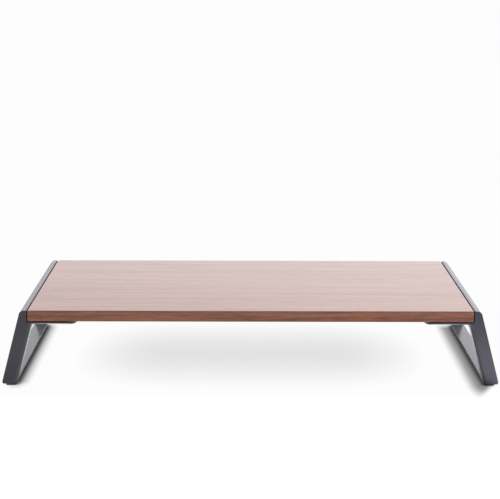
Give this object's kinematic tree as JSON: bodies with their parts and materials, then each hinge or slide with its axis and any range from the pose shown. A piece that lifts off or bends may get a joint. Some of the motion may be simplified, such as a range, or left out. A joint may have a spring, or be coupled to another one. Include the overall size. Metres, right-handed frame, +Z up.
{
  "type": "monitor riser stand",
  "caption": "Low desktop riser: a flat walnut-veneered board carried by two open, outward-leaning cast side frames on rubber foot strips.",
  "frame": {"origin": "on the desk, directly below the middle of the board", "axes": "+X along the board towards the user's right, +Y from the front edge to the rear edge, +Z up"},
  "size_m": [0.5592, 0.25, 0.087],
  "materials": {
    "walnut_face": "satin lacquered walnut veneer, fine straight grain along the board",
    "walnut_edge": "satin lacquered walnut edge band, straight grain",
    "board_core": "raw fibreboard",
    "frame_coating": "smooth semi-gloss charcoal coating on cast aluminium",
    "liner_rubber": "matte black",
    "foot_rubber": "matte dark grey",
    "screw_steel": "black oxide",
    "insert_brass": "turned and knurled, bright"
  },
  "bodies": {
    "root": {"board_core": "board_core", "board_top_veneer": "walnut_face", "board_bottom_veneer": "walnut_face", "front_edge_band": "walnut_edge", "rear_edge_band": "walnut_edge", "left_edge_band": "walnut_edge", "right_edge_band": "walnut_edge", "left_side_frame": "frame_coating", "right_side_frame": "frame_coating", "left_seat_liner": "liner_rubber", "right_seat_liner": "liner_rubber", "left_foot_strip": "foot_rubber", "right_foot_strip": "foot_rubber", "left_frame_screws": "screw_steel", "right_frame_screws": "screw_steel", "left_threaded_inserts": "insert_brass", "right_threaded_inserts": "insert_brass"}
  },
  "joints": []
}
